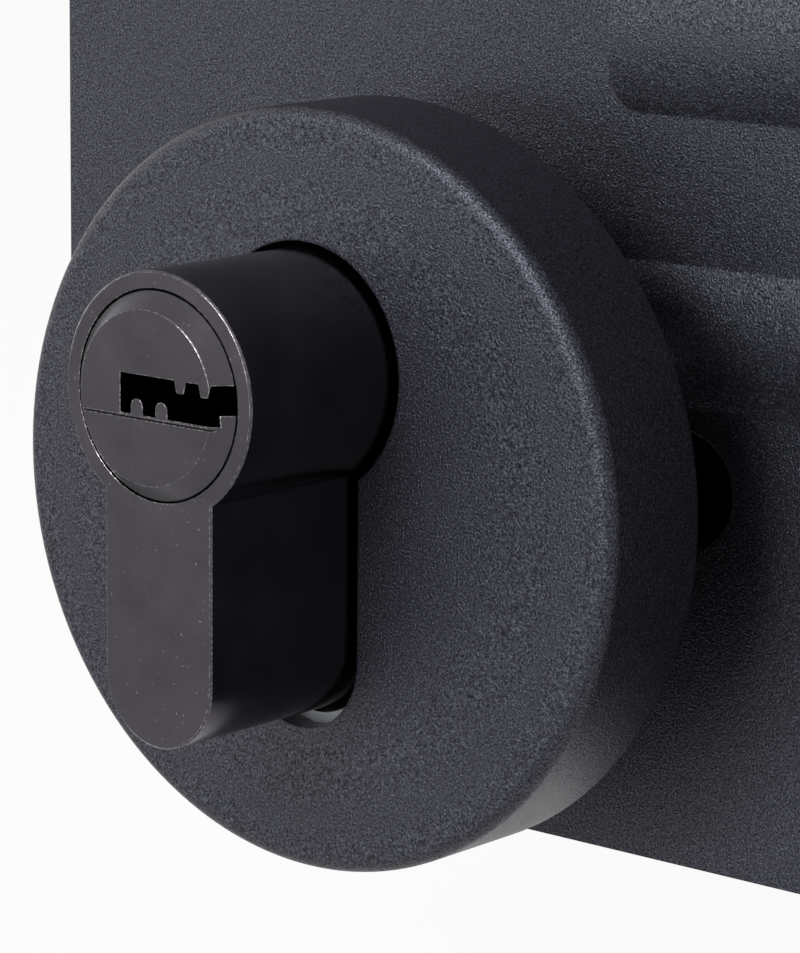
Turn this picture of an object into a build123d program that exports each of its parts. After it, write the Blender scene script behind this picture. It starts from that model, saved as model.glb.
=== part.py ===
"""Mortise deadbolt with a geared bolt, a profile cylinder and a pair of round roses.

The origin is on the cylinder's axis, midway between the two sides of the case.
X runs to the door's edge, where the forend is, Y runs into the door from outside, and Z is up.
All lengths are in millimetres.
"""

import os
from math import acos, cos, pi, radians, sin, sqrt, tan

from build123d import *

# Driving sizes of the door and the lock case
door_thickness = 36.0
case_thickness = 17.0
case_wall = 1.5
case_behind_axis = 41.5
case_below_axis = 36.5
case_height = 100.0
backset = 55.0
forend_thickness = 3.0
forend_width = 24.0
forend_length = 150.0
case_front_wall = 2.0
case_corner = 7.5

# Pressed ribs that stand out of the sides of the case and stiffen them
rib_start = 12.2
rib_end = 47.0
rib_width = 10.1
rib_height = 0.8
rib_first_place = 2.05
rib_pitch = 20.5
rib_count = 3
rib_corner = 2.5

# Through-holes for door furniture in the case
furniture_spacing = 38.0
furniture_drop = 9.0
furniture_hole = 8.6

# Profile cylinder
head_radius = 8.5
profile_width = 9.8
profile_foot = 24.5
cylinder_half = 42.5
case_fit = 0.25
cam_gap = 10.0
bridge_drop = 9.0
face_chamfer = 0.12

# Plugs, their keyway and the pins
plug_radius = 6.5
plug_fit = 0.08
flange_radius = 7.17
flange_fit = 0.15
flange_thickness = 2.5
flange_end_gap = 0.1
nose_radius = 6.0
nose_height = 1.2
tail_radius = 4.6
tail_length = 1.1
clip_groove_radius = 4.1
clip_radius = 7.3
clip_thickness = 0.8
clip_mouth = 6.0
keyway_left = 2.3
keyway_floor = -1.2
keyway_roof = 1.56
ward_width = 1.05
low_ward_places = (-0.76, 1.5)
high_ward_places = (3.2, 5.4)
low_ward_height = 1.1
high_ward_height = 0.85
ward_slope = 75.0
ledge_start = 6.4
ledge_height = 0.75
split_drop = 1.42
split_width = 0.16
split_depth = 0.35
pin_count = 6
pin_pitch = 4.4
first_pin_inset = 8.0
pin_radius = 1.3
pin_fit = 0.1
pin_tip_radius = 0.5
key_pin_top = -0.55
key_cuts = (0.0, 0.3, 0.6, 0.2, 0.5, 0.1)
driver_length = 5.0
chamber_plug_drop = 22.4
chamber_plug_length = 1.5

# Geared drive from the cam to the bolt
gear_module = 1.4
pressure_angle = 25.0
tooth_addendum = 0.8 * gear_module
tooth_dedendum = 1.5
tooth_backlash = 0.12
cam_teeth = 10
wheel_teeth = 20
pinion_teeth = 10
cam_length = 7.6
wheel_face = -1.2
wheel_width = 3.0
pinion_width = 3.6
hub_radius = 4.6
axle_radius = 3.0
axle_fit = 0.06
end_play = 0.1

# Coupling bar in the cam
bar_thickness = 2.4
bar_width = 7.4
bar_fit = 0.06
bar_grip = 1.6
bar_gap = 0.3

# Bolt and its carriage
bolt_top_inset = 13.5
bolt_height = 32.0
bolt_length = 37.0
bolt_fit = 0.2
bolt_side_gap = 1.0
bolt_chamfer = 0.6
carriage_thickness = 3.0
carriage_face = -0.8
carriage_rear = 36.0
carriage_corner = 4.0
carriage_tongue = 14.0
tongue_inset = 4.0
rack_back = 2.9
window_rear = 31.5
window_front = 9.5
window_gap = 0.48
guide_gap = 2.48
guide_edge = 5.0
guide_places = (-6.0, 8.0)
guide_radius = 2.4
guide_fit = 0.2
rivet_radius = 2.0
rivet_inset = 7.0
rivet_spacing = 14.0
hardened_pin_radius = 2.5
hardened_pin_length = 26.0
hardened_pin_places = (44.0, 50.0)

# Bow spring that presses on the carriage
spring_half_span = 20.0
spring_end_gap = 0.8
spring_strip = 0.5
spring_gap = 0.05

# Posts and screws of the case
post_radius = 3.2
post_inset = 8.0
post_front_inset = 12.0
cover_screw_radius = 1.5
cover_screw_length = 9.0
cover_head_radius = 2.9
forend_screw_radius = 2.0
forend_screw_length = 8.0
forend_screw_inset = 6.5
forend_head_radius = 3.9
door_screw_spacing = 130.0
door_screw_radius = 2.25
door_head_radius = 4.4
cylinder_screw_radius = 2.5
cylinder_screw_drop = 19.5
cylinder_head_radius = 4.8
cylinder_screw_length = 59.0
screw_fit = 0.2
thread_fit = 0.05
recess_depth = 1.1
countersink_angle = 90.0

# Roses, their base plates and the bolts between them
rose_radius = 27.25
rose_thickness = 10.0
rose_drop = 9.0
rose_wall = 1.5
rose_flat_radius = 12.0
rose_crown = 0.25
rose_edge_radius = 1.0
rose_hole_gap = 0.5
rose_foot_gap = 1.3
base_thickness = 2.0
base_lip = 1.6
base_lip_drop = 12.0
base_lip_gap = 0.1
rose_bolt_circle = 15.6
rose_bolt_angle = 32.0
rose_post_radius = 3.0
rose_post_fit = 0.25
rose_post_reach = 12.0
rose_post_head = 4.0
rose_post_head_thickness = 1.2
rose_screw_radius = 2.0
rose_screw_length = 26.0
rose_head_radius = 3.8

# Places worked out from the driving sizes
case_half = case_thickness / 2
inner_half = case_half - case_wall
door_half = door_thickness / 2
case_front = backset - forend_thickness
case_rear = -case_behind_axis
case_bottom = -case_below_axis
case_top = case_bottom + case_height
case_centre_height = (case_top + case_bottom) / 2
front_wall_inside = case_front - case_front_wall
post_places = [
    (x, z)
    for x in (case_rear + post_inset, case_front - post_front_inset)
    for z in (case_top - post_inset, case_bottom + post_inset)
]
forend_screw_heights = (case_top - forend_screw_inset, case_bottom + forend_screw_inset)
profile_half = profile_width / 2
foot_centre = -(profile_foot - profile_half)
cam_half_gap = cam_gap / 2
cam_half = cam_length / 2
tail_end = cam_half_gap - tail_length
cam_pitch_radius = gear_module * cam_teeth / 2
wheel_pitch_radius = gear_module * wheel_teeth / 2
pinion_pitch_radius = gear_module * pinion_teeth / 2
axle_height = cam_pitch_radius + wheel_pitch_radius
rack_height = axle_height - pinion_pitch_radius
rack_pitch = pi * gear_module
rack_root = rack_height - tooth_dedendum
rack_tip = rack_height + tooth_addendum
bolt_half = inner_half - bolt_side_gap
bolt_bottom = case_top - bolt_top_inset - bolt_height
bolt_middle = bolt_bottom + bolt_height / 2
bolt_rear = backset - bolt_length
guide_height = axle_height + wheel_pitch_radius + tooth_addendum + guide_gap + guide_radius
carriage_back_face = carriage_face + carriage_thickness
carriage_roof = guide_height + guide_edge
carriage_floor = rack_root - rack_back
window_roof = axle_height + pinion_pitch_radius + tooth_addendum + window_gap
bolt_throw = pinion_pitch_radius * pi
rib_radius = ((rib_width / 2) ** 2 + rib_height**2) / (2 * rib_height)
rose_post_places = [
    (side * rose_bolt_circle * cos(radians(rose_bolt_angle)),
     -furniture_drop + side * rose_bolt_circle * sin(radians(rose_bolt_angle)))
    for side in (1, -1)
]
pin_places = [cylinder_half - first_pin_inset - i * pin_pitch for i in range(pin_count)]

os.makedirs("parts", exist_ok=True)


def save(piece, name):
    """Labels a finished piece and writes its file."""
    piece.label = name
    export_step(piece, f"parts/{name}.step")


def depth(y):
    """The sketch plane at depth y that faces outside, with its own axes along X and Z."""
    return Plane.XZ.offset(-y)


def profile_shape(gap=0.0, foot_gap=None):
    """Draws the cylinder's profile, grown by a gap, in the sketch that is open."""
    half = profile_half + gap
    foot = foot_centre - ((foot_gap if foot_gap is not None else gap) - gap)
    Circle(head_radius + gap)
    with Locations((0, foot / 2)):
        Rectangle(2 * half, -foot)
    with Locations((0, foot)):
        Circle(half)


def gear_tooth(teeth):
    """One involute tooth that points along its sketch's second axis, as a face."""
    pitch = gear_module * teeth / 2
    angle = radians(pressure_angle)
    base = pitch * cos(angle)
    tip = pitch + tooth_addendum
    root = pitch - tooth_dedendum
    half_angle = pi / (2 * teeth) - tooth_backlash / (2 * pitch) + tan(angle) - angle
    steps = 5
    flank = []
    for i in range(steps + 1):
        radius = base + (tip - base) * i / steps
        roll = acos(min(1.0, base / radius))
        turn = half_angle - (tan(roll) - roll)
        flank.append((radius * sin(turn), radius * cos(turn)))
    under = (root - gear_module / 2) * cos(half_angle)
    with BuildSketch() as tooth:
        with BuildLine():
            right = Spline(*flank)
            left = Spline(*[(-x, z) for x, z in flank])
            ThreePointArc(right @ 1, (0, tip), left @ 1)
            Polyline(right @ 0, ((right @ 0).X, under), ((left @ 0).X, under), left @ 0)
        make_face()
    return tooth.sketch


def gear_shape(teeth, half_step=False):
    """Draws a gear with a tooth straight up, or a space there, in the sketch that is open."""
    Circle(gear_module * teeth / 2 - tooth_dedendum)
    turn = 180 / teeth if half_step else 0
    tooth = gear_tooth(teeth)
    with PolarLocations(0, teeth, start_angle=turn):
        add(tooth)


def case_outline(rear, front, low, high, corner):
    """Draws the outline of the case, its rear corners cut, in the sketch that is open."""
    Polygon(
        (front, high), (front, low), (rear + corner, low), (rear, low + corner),
        (rear, high - corner), (rear + corner, high), align=None,
    )


def rib_solid(shrink, start):
    """Solids of the outer side's ribs, smaller by a shrink all round, from a depth outwards."""
    centre_depth = rib_radius - rib_height - case_half
    length = rib_end - rib_start - 2 * shrink
    width = rib_width - 2 * shrink
    middle = (rib_start + rib_end) / 2
    with BuildPart() as ribs:
        for i in range(rib_count):
            height = rib_first_place + i * rib_pitch
            with BuildPart(mode=Mode.PRIVATE) as rib:
                with BuildSketch(Plane.YZ.offset(rib_start + shrink)):
                    with Locations((centre_depth, height)):
                        Circle(rib_radius - shrink)
                extrude(amount=length)
                with BuildSketch(depth(start)):
                    with Locations((middle, height)):
                        RectangleRounded(length, width, rib_corner - shrink)
                extrude(amount=case_half, mode=Mode.INTERSECT)
            add(rib.part)
    return ribs.part


def head_depth(radius, head):
    """How deep a countersunk head of a given radius goes before it meets its shank."""
    return (head - radius) / tan(radians(countersink_angle / 2))


def countersunk_screw(radius, head, length, recess_radius):
    """A screw along Z with its head's flat at the origin and its tip below, as a solid."""
    with BuildPart() as screw:
        with BuildSketch(Plane.XZ):
            Polygon(
                (0, 0), (head, 0), (radius, -head_depth(radius, head)), (radius, radius - length),
                (radius / 2, -length), (0, -length), align=None,
            )
        revolve(axis=Axis.Z)
        with BuildSketch():
            RegularPolygon(recess_radius, 6)
        extrude(amount=-recess_depth, mode=Mode.SUBTRACT)
    return screw.part


def case_openings():
    """Draws the profile hole, furniture holes and rose post holes in the sketch that is open."""
    profile_shape(case_fit)
    with Locations((0, -furniture_drop)):
        with GridLocations(furniture_spacing, 0, 2, 1):
            Circle(furniture_hole / 2)
    with Locations(*rose_post_places):
        Circle(rose_post_radius + rose_post_fit)


# Case body: the outer side with its rim, cut for the bolt, the screws and the furniture
inner_corner = case_corner - (2 - sqrt(2)) * case_wall
ribs_outside = rib_solid(0.0, -inner_half)
ribs_inside = rib_solid(case_wall, -inner_half / 2)
with BuildPart() as case_body:
    with BuildSketch(depth(inner_half)):
        case_outline(case_rear, case_front, case_bottom, case_top, case_corner)
    extrude(amount=inner_half + case_half)
    with BuildSketch(depth(inner_half)):
        case_outline(
            case_rear + case_wall, front_wall_inside, case_bottom + case_wall, case_top - case_wall, inner_corner
        )
    extrude(amount=2 * inner_half, mode=Mode.SUBTRACT)
    add(ribs_outside)
    add(ribs_inside, mode=Mode.SUBTRACT)
    with BuildSketch(depth(0)):
        case_openings()
    extrude(amount=case_thickness, mode=Mode.SUBTRACT)
    with BuildSketch(Plane.YZ.offset(front_wall_inside - case_wall)):
        with Locations((0, bolt_middle)):
            Rectangle(2 * (bolt_half + bolt_fit), bolt_height + 2 * bolt_fit)
        with Locations((0, -cylinder_screw_drop)):
            Circle(cylinder_screw_radius + screw_fit)
        with Locations(*[(0, height) for height in forend_screw_heights]):
            Circle(forend_screw_radius + thread_fit)
    extrude(amount=case_front_wall + 2 * case_wall, mode=Mode.SUBTRACT)
save(case_body.part, "case_body")

# Case cover: the inner side, pressed like the outer one and countersunk for its screws
with BuildPart() as case_cover:
    with BuildSketch(depth(-inner_half)):
        case_outline(case_rear, case_front, case_bottom, case_top, case_corner)
    extrude(amount=case_wall)
    add(ribs_outside)
    add(ribs_inside, mode=Mode.SUBTRACT)
    with BuildSketch(depth(0)):
        case_openings()
    extrude(amount=case_thickness, mode=Mode.SUBTRACT)
    with Locations(Plane.XZ.offset(case_half)):
        with Locations(*post_places):
            CounterSinkHole(
                cover_screw_radius + thread_fit, cover_head_radius + thread_fit,
                counter_sink_angle=countersink_angle,
            )
    mirror(about=Plane.XZ, mode=Mode.REPLACE)
save(case_cover.part, "case_cover")

# Posts that hold the two sides apart, bored for the cover's screws
with BuildPart() as case_posts:
    with BuildSketch(depth(inner_half)):
        with Locations(*post_places):
            Circle(post_radius)
    extrude(amount=2 * inner_half)
    with BuildSketch(depth(inner_half)):
        with Locations(*post_places):
            Circle(cover_screw_radius + thread_fit)
    extrude(amount=cover_screw_length, mode=Mode.SUBTRACT)
save(case_posts.part, "case_posts")

# Countersunk screws of the cover
cover_screw = countersunk_screw(cover_screw_radius, cover_head_radius, cover_screw_length, 1.0)
with BuildPart() as cover_screws:
    with Locations(Plane.XZ.offset(-case_half)):
        with Locations(*post_places):
            add(cover_screw.rotate(Axis.X, 180))
save(cover_screws.part, "cover_screws")

# Forend: the plate on the door's edge, with the bolt's opening and its screw holes
with BuildPart() as forend:
    with BuildSketch(Plane.YZ.offset(case_front)):
        with Locations((0, case_centre_height)):
            RectangleRounded(forend_width, forend_length, 1.0)
        with Locations((0, bolt_middle)):
            Rectangle(2 * (bolt_half + bolt_fit), bolt_height + 2 * bolt_fit, mode=Mode.SUBTRACT)
    extrude(amount=forend_thickness)
    with Locations(Plane.YZ.offset(backset)):
        with Locations(*[(0, height) for height in forend_screw_heights]):
            CounterSinkHole(
                forend_screw_radius + screw_fit, forend_head_radius + thread_fit,
                counter_sink_angle=countersink_angle,
            )
        with Locations((0, -cylinder_screw_drop)):
            CounterSinkHole(
                cylinder_screw_radius + screw_fit, cylinder_head_radius + thread_fit,
                counter_sink_angle=countersink_angle,
            )
        with Locations((0, case_centre_height)):
            with GridLocations(0, door_screw_spacing, 1, 2):
                CounterSinkHole(
                    door_screw_radius, door_head_radius, counter_sink_angle=countersink_angle
                )
save(forend.part, "forend")

# Screws from the forend into the front wall of the case
forend_screw = countersunk_screw(forend_screw_radius, forend_head_radius, forend_screw_length, 1.4)
with BuildPart() as forend_screws:
    with Locations(Plane.YZ.offset(backset)):
        with Locations(*[(0, height) for height in forend_screw_heights]):
            add(forend_screw)
save(forend_screws.part, "forend_screws")

# Bolt head: a block with a slot for the carriage's tongue and bores for its pins
with BuildPart() as bolt_head:
    with BuildSketch(Plane.YZ.offset(bolt_rear)):
        with Locations((0, bolt_middle)):
            Rectangle(2 * bolt_half, bolt_height)
    extrude(amount=bolt_length)
    chamfer(bolt_head.faces().sort_by(Axis.X)[-1].edges(), length=bolt_chamfer)
    with BuildSketch(depth(carriage_back_face)):
        with Locations((bolt_rear + carriage_tongue / 2, bolt_middle)):
            Rectangle(carriage_tongue, bolt_height)
    extrude(amount=carriage_thickness, mode=Mode.SUBTRACT)
    with BuildSketch(depth(bolt_half)):
        with Locations((bolt_rear + rivet_inset, bolt_middle)):
            with GridLocations(0, rivet_spacing, 1, 2):
                Circle(rivet_radius)
    extrude(amount=2 * bolt_half, mode=Mode.SUBTRACT)
    with BuildSketch(Plane.XY.offset(bolt_bottom)):
        with Locations(*[(x, 0) for x in hardened_pin_places]):
            Circle(hardened_pin_radius)
    extrude(amount=hardened_pin_length, mode=Mode.SUBTRACT)
save(bolt_head.part, "bolt_head")

# Hardened pins against sawing, pressed into the bolt head from below
with BuildPart() as bolt_hardened_pins:
    with BuildSketch(Plane.XY.offset(bolt_bottom)):
        with Locations(*[(x, 0) for x in hardened_pin_places]):
            Circle(hardened_pin_radius)
    extrude(amount=hardened_pin_length)
save(bolt_hardened_pins.part, "bolt_hardened_pins")

# Bolt carriage: a plate with a rack in its window and a slot for the guide posts
tooth_foot_half = rack_pitch / 4 - tooth_backlash / 2 + tooth_dedendum * tan(radians(pressure_angle))
tooth_tip_half = rack_pitch / 4 - tooth_backlash / 2 - tooth_addendum * tan(radians(pressure_angle))
first_tooth = -int(window_rear / rack_pitch)
last_tooth = int(window_front / rack_pitch)
slot_rear = guide_places[0] - bolt_throw - guide_radius - guide_fit
slot_front = guide_places[1] + guide_radius + guide_fit
with BuildPart() as bolt_carriage:
    with BuildSketch(depth(carriage_back_face)) as carriage_outline:
        with Locations(((bolt_rear - carriage_rear) / 2, (carriage_roof + carriage_floor) / 2)):
            Rectangle(bolt_rear + carriage_rear, carriage_roof - carriage_floor)
        chamfer(carriage_outline.vertices().group_by(Axis.X)[0], carriage_corner)
        with Locations((bolt_rear + carriage_tongue / 2, bolt_middle)):
            Rectangle(carriage_tongue, bolt_height - 2 * tongue_inset)
        with Locations(((window_front - window_rear) / 2, (window_roof + rack_root) / 2)):
            Rectangle(window_front + window_rear, window_roof - rack_root, mode=Mode.SUBTRACT)
        for i in range(first_tooth, last_tooth):
            centre = (i + 0.5) * rack_pitch
            Polygon(
                (centre - tooth_foot_half, rack_root), (centre + tooth_foot_half, rack_root),
                (centre + tooth_tip_half, rack_tip), (centre - tooth_tip_half, rack_tip), align=None,
            )
        with Locations(((slot_rear + slot_front) / 2, guide_height)):
            SlotOverall(slot_front - slot_rear, 2 * (guide_radius + guide_fit), mode=Mode.SUBTRACT)
        with Locations((bolt_rear + rivet_inset, bolt_middle)):
            with GridLocations(0, rivet_spacing, 1, 2):
                Circle(rivet_radius, mode=Mode.SUBTRACT)
    extrude(amount=carriage_thickness)
save(bolt_carriage.part, "bolt_carriage")

# Rivets through the bolt head and the carriage's tongue
with BuildPart() as bolt_rivets:
    with BuildSketch(depth(bolt_half)):
        with Locations((bolt_rear + rivet_inset, bolt_middle)):
            with GridLocations(0, rivet_spacing, 1, 2):
                Circle(rivet_radius)
    extrude(amount=2 * bolt_half)
save(bolt_rivets.part, "bolt_rivets")

# Guide posts in the carriage's slot, between the two sides of the case
with BuildPart() as guide_posts:
    with BuildSketch(depth(inner_half)):
        with Locations(*[(x, guide_height) for x in guide_places]):
            Circle(guide_radius)
    extrude(amount=2 * inner_half)
save(guide_posts.part, "guide_posts")

# Axle of the drive gear
with BuildPart() as gear_axle:
    with BuildSketch(depth(inner_half)):
        with Locations((0, axle_height)):
            Circle(axle_radius)
    extrude(amount=2 * inner_half)
save(gear_axle.part, "gear_axle")

# Drive gear: a wheel that the cam turns, and a pinion that moves the bolt's rack
with BuildPart() as drive_gear:
    with BuildSketch(depth(wheel_face)):
        gear_shape(wheel_teeth, half_step=True)
    extrude(amount=wheel_width)
    with BuildSketch(depth(wheel_face + pinion_width)):
        gear_shape(pinion_teeth)
    extrude(amount=pinion_width)
    with BuildSketch(depth(inner_half - end_play)):
        Circle(hub_radius)
    extrude(amount=2 * (inner_half - end_play))
    with BuildSketch(depth(inner_half)):
        Circle(axle_radius + axle_fit)
    extrude(amount=2 * inner_half, mode=Mode.SUBTRACT)
drive_gear.part.position = (0, 0, axle_height)
save(drive_gear.part, "drive_gear")

# Cam: a gear in the cylinder's middle, with a slot for the coupling bar
with BuildPart() as cog_cam:
    with BuildSketch(depth(cam_half)):
        gear_shape(cam_teeth)
        Circle(bar_thickness, mode=Mode.SUBTRACT)
        Rectangle(bar_thickness + 2 * bar_fit, bar_width + 2 * bar_fit, mode=Mode.SUBTRACT)
    extrude(amount=cam_length)
save(cog_cam.part, "cog_cam")

# Coupling bar: slides along the cam's slot and joins it to one plug or the other
bar_front = -(tail_end + bar_grip)
bar_back = tail_end - bar_gap
with BuildPart() as coupling_bar:
    with BuildSketch(depth(bar_back)):
        Rectangle(bar_thickness, bar_width)
    extrude(amount=bar_back - bar_front)
    chamfer(coupling_bar.faces().filter_by(Axis.Y).edges().filter_by(Axis.X), length=bar_gap)
save(coupling_bar.part, "coupling_bar")

# Cylinder body: one casting for both ends, open in the middle for the cam
pin_rows = [(0, side * place) for side in (-1, 1) for place in pin_places]
with BuildPart() as cylinder_body:
    with BuildSketch(depth(cylinder_half)):
        profile_shape()
    extrude(amount=2 * cylinder_half)
    chamfer(cylinder_body.faces().filter_by(Axis.Y).edges(), length=face_chamfer)
    with BuildSketch(depth(cylinder_half)):
        Circle(plug_radius + plug_fit)
    extrude(amount=2 * cylinder_half, mode=Mode.SUBTRACT)
    counterbore = flange_thickness + flange_end_gap
    for start in (cylinder_half, counterbore - cylinder_half):
        with BuildSketch(depth(start)):
            Circle(flange_radius + flange_fit)
        extrude(amount=counterbore, mode=Mode.SUBTRACT)
    with BuildSketch(depth(cam_half_gap)):
        with Locations((0, (head_radius - bridge_drop) / 2)):
            Rectangle(2 * head_radius, head_radius + bridge_drop)
    extrude(amount=cam_gap, mode=Mode.SUBTRACT)
    with BuildSketch(Plane.XY.offset(-profile_foot)):
        with Locations(*pin_rows):
            Circle(pin_radius + pin_fit)
    extrude(amount=profile_foot - plug_radius, mode=Mode.SUBTRACT)
    with BuildSketch(Plane.YZ.offset(-profile_half)):
        with Locations((0, -cylinder_screw_drop)):
            Circle(cylinder_screw_radius + thread_fit)
    extrude(amount=profile_width, mode=Mode.SUBTRACT)
save(cylinder_body.part, "cylinder_body")


def keyway_shape():
    """Draws the flat key's slot, with its wards and ledge, in the sketch that is open."""
    slot_right = flange_radius + flange_fit
    with Locations(((slot_right - keyway_left) / 2, (keyway_roof + keyway_floor) / 2)):
        Rectangle(slot_right + keyway_left, keyway_roof - keyway_floor)
    for place in low_ward_places:
        with Locations((place, keyway_floor + low_ward_height - ward_width / 2)):
            Circle(ward_width / 2, mode=Mode.SUBTRACT)
        with Locations((place, keyway_floor + (low_ward_height - ward_width / 2) / 2)):
            Rectangle(ward_width, low_ward_height - ward_width / 2, mode=Mode.SUBTRACT)
    for place in high_ward_places:
        with Locations((place, keyway_roof - high_ward_height / 2)):
            Trapezoid(ward_width, high_ward_height, ward_slope, rotation=180, mode=Mode.SUBTRACT)
    with Locations(((slot_right + ledge_start) / 2, keyway_floor + ledge_height / 2)):
        Rectangle(slot_right - ledge_start, ledge_height, mode=Mode.SUBTRACT)


# Outer plug: turned with a coned nose, slotted for the key and bored for the pins
plug_front = -cylinder_half
barrel_front = plug_front + flange_thickness
slot_depth_end = -(cam_half_gap + bar_grip + bar_gap)
keyway_end = slot_depth_end - bar_gap
with BuildPart() as outer_plug:
    with BuildSketch(Plane.XY):
        Polygon(
            (0, plug_front - nose_height), (nose_radius, plug_front - nose_height),
            (flange_radius, plug_front), (flange_radius, barrel_front), (plug_radius, barrel_front),
            (plug_radius, -cam_half_gap), (clip_groove_radius, -cam_half_gap),
            (clip_groove_radius, -tail_end - end_play), (tail_radius, -tail_end - end_play),
            (tail_radius, -tail_end), (0, -tail_end), align=None,
        )
    revolve(axis=Axis.Y)
    with BuildSketch(depth(keyway_end)):
        keyway_shape()
    extrude(amount=cylinder_half + nose_height + keyway_end, mode=Mode.SUBTRACT)
    with BuildSketch(depth(-tail_end)):
        Rectangle(bar_thickness + 2 * bar_fit, bar_width + 2 * bar_fit)
    extrude(amount=-slot_depth_end - tail_end, mode=Mode.SUBTRACT)
    with BuildSketch(depth(slot_depth_end)):
        Circle(bar_thickness / 2)
    extrude(amount=2 * bar_gap, mode=Mode.SUBTRACT)
    with BuildSketch(depth(plug_front - nose_height + split_depth)):
        with Locations((0, -split_drop)):
            Rectangle(2 * flange_radius, split_width)
    extrude(amount=split_depth, mode=Mode.SUBTRACT)
    with BuildSketch(Plane.XY.offset(-plug_radius)):
        with Locations(*[(0, -place) for place in pin_places]):
            Circle(pin_radius + pin_fit)
    extrude(amount=plug_radius, mode=Mode.SUBTRACT)
save(outer_plug.part, "outer_plug")

# Inner plug: the outer one turned about the lock's upright axis
with BuildPart() as inner_plug:
    add(outer_plug.part.rotate(Axis.Z, 180))
save(inner_plug.part, "inner_plug")

# Spring clips that hold the plugs in the body
clip_front = -cam_half_gap
with BuildPart() as outer_plug_clip:
    with BuildSketch(depth(clip_front + clip_thickness)):
        Circle(clip_radius)
        Circle(clip_groove_radius, mode=Mode.SUBTRACT)
        with Locations((0, clip_radius)):
            Rectangle(clip_mouth, 2 * clip_radius, mode=Mode.SUBTRACT)
    extrude(amount=clip_thickness)
save(outer_plug_clip.part, "outer_plug_clip")

with BuildPart() as inner_plug_clip:
    add(outer_plug_clip.part.rotate(Axis.Z, 180))
save(inner_plug_clip.part, "inner_plug_clip")

# Key pins in the outer plug, cut to the key's heights with their feet on the shear line
key_pin_foot = -sqrt(plug_radius**2 - pin_radius**2)
with BuildPart() as outer_key_pins:
    for place, cut in zip(pin_places, key_cuts):
        height = key_pin_top - cut - key_pin_foot
        with BuildSketch(Plane.XZ.offset(place)):
            Polygon(
                (0, key_pin_foot), (pin_radius, key_pin_foot),
                (pin_radius, key_pin_foot + height - (pin_radius - pin_tip_radius)),
                (pin_tip_radius, key_pin_foot + height), (0, key_pin_foot + height), align=None,
            )
        revolve(axis=Axis((0, -place, 0), (0, 0, 1)))
save(outer_key_pins.part, "outer_key_pins")

with BuildPart() as inner_key_pins:
    add(outer_key_pins.part.rotate(Axis.Z, 180))
save(inner_key_pins.part, "inner_key_pins")

# Driver pins below the shear line, their springs and the plugs that close the chambers
driver_top = -(plug_radius + plug_fit)
driver_bottom = driver_top - driver_length
with BuildPart() as driver_pins:
    with BuildSketch(Plane.XY.offset(driver_bottom)):
        with Locations(*pin_rows):
            Circle(pin_radius)
    extrude(amount=driver_length)
save(driver_pins.part, "driver_pins")

with BuildPart() as pin_springs:
    with BuildSketch(Plane.XY.offset(-chamber_plug_drop)):
        with Locations(*pin_rows):
            Circle(pin_radius)
            Circle(pin_radius / 2, mode=Mode.SUBTRACT)
    extrude(amount=chamber_plug_drop + driver_bottom)
save(pin_springs.part, "pin_springs")

with BuildPart() as chamber_plugs:
    with BuildSketch(Plane.XY.offset(-chamber_plug_drop - chamber_plug_length)):
        with Locations(*pin_rows):
            Circle(pin_radius + pin_fit)
    extrude(amount=chamber_plug_length)
save(chamber_plugs.part, "chamber_plugs")

# Screw from the forend that holds the cylinder
with BuildPart() as cylinder_screw:
    with Locations(Plane.YZ.offset(backset)):
        with Locations((0, -cylinder_screw_drop)):
            add(countersunk_screw(cylinder_screw_radius, cylinder_head_radius, cylinder_screw_length, 1.8))
save(cylinder_screw.part, "cylinder_screw")

# Outer rose cover: a turned cap with a crowned edge and a hole for the cylinder
rose_back = -door_half
rose_front = rose_back - rose_thickness
rose_hollow = rose_thickness - rose_wall - rose_crown
rim_radius = rose_radius - rose_edge_radius
with BuildPart() as outer_rose_cover:
    with BuildSketch(Plane.XY):
        with BuildLine():
            Line((0, rose_back), (0, rose_front))
            flat = Line((0, rose_front), (rose_flat_radius, rose_front))
            crown = TangentArc(flat @ 1, (rim_radius, rose_front + rose_crown), tangent=(1, 0))
            edge = TangentArc(
                crown @ 1, (rose_radius, rose_front + rose_crown + rose_edge_radius), tangent=crown % 1
            )
            Polyline(edge @ 1, (rose_radius, rose_back), (0, rose_back))
        make_face()
    revolve(axis=Axis.Y)
    with BuildSketch(depth(rose_back)):
        Circle(rose_radius - rose_wall)
    extrude(amount=rose_hollow, mode=Mode.SUBTRACT)
    with BuildSketch(depth(rose_back)):
        with Locations((0, rose_drop)):
            profile_shape(rose_hole_gap, rose_foot_gap)
    extrude(amount=rose_thickness, mode=Mode.SUBTRACT)
outer_rose_cover.part.position = (0, 0, -rose_drop)
save(outer_rose_cover.part, "outer_rose_cover")

with BuildPart() as inner_rose_cover:
    add(outer_rose_cover.part)
    mirror(about=Plane.XZ, mode=Mode.REPLACE)
save(inner_rose_cover.part, "inner_rose_cover")

lip_height = rose_hollow - base_lip_gap


def foot_lip():
    """Draws the lip round the cylinder's foot, still filled, in the sketch that is open."""
    profile_shape(rose_hole_gap + base_lip)
    with Locations((0, -base_lip_drop)):
        Rectangle(2 * rose_radius, rose_radius, align=(Align.CENTER, Align.MIN), mode=Mode.SUBTRACT)


# Base plates inside the covers, each with a lip that keeps its cover from turning:
# the outer one holds the posts, the inner one the bolts' heads
with BuildPart() as outer_rose_base:
    with BuildSketch(depth(rose_back)):
        with Locations((0, -rose_drop)):
            Circle(rose_radius - rose_wall)
    extrude(amount=base_thickness)
    with BuildSketch(depth(rose_back)):
        foot_lip()
    extrude(amount=lip_height)
    with BuildSketch(depth(rose_back)):
        profile_shape(rose_hole_gap)
        with Locations(*rose_post_places):
            Circle(rose_post_radius)
    extrude(amount=lip_height, mode=Mode.SUBTRACT)
save(outer_rose_base.part, "outer_rose_base")

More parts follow.
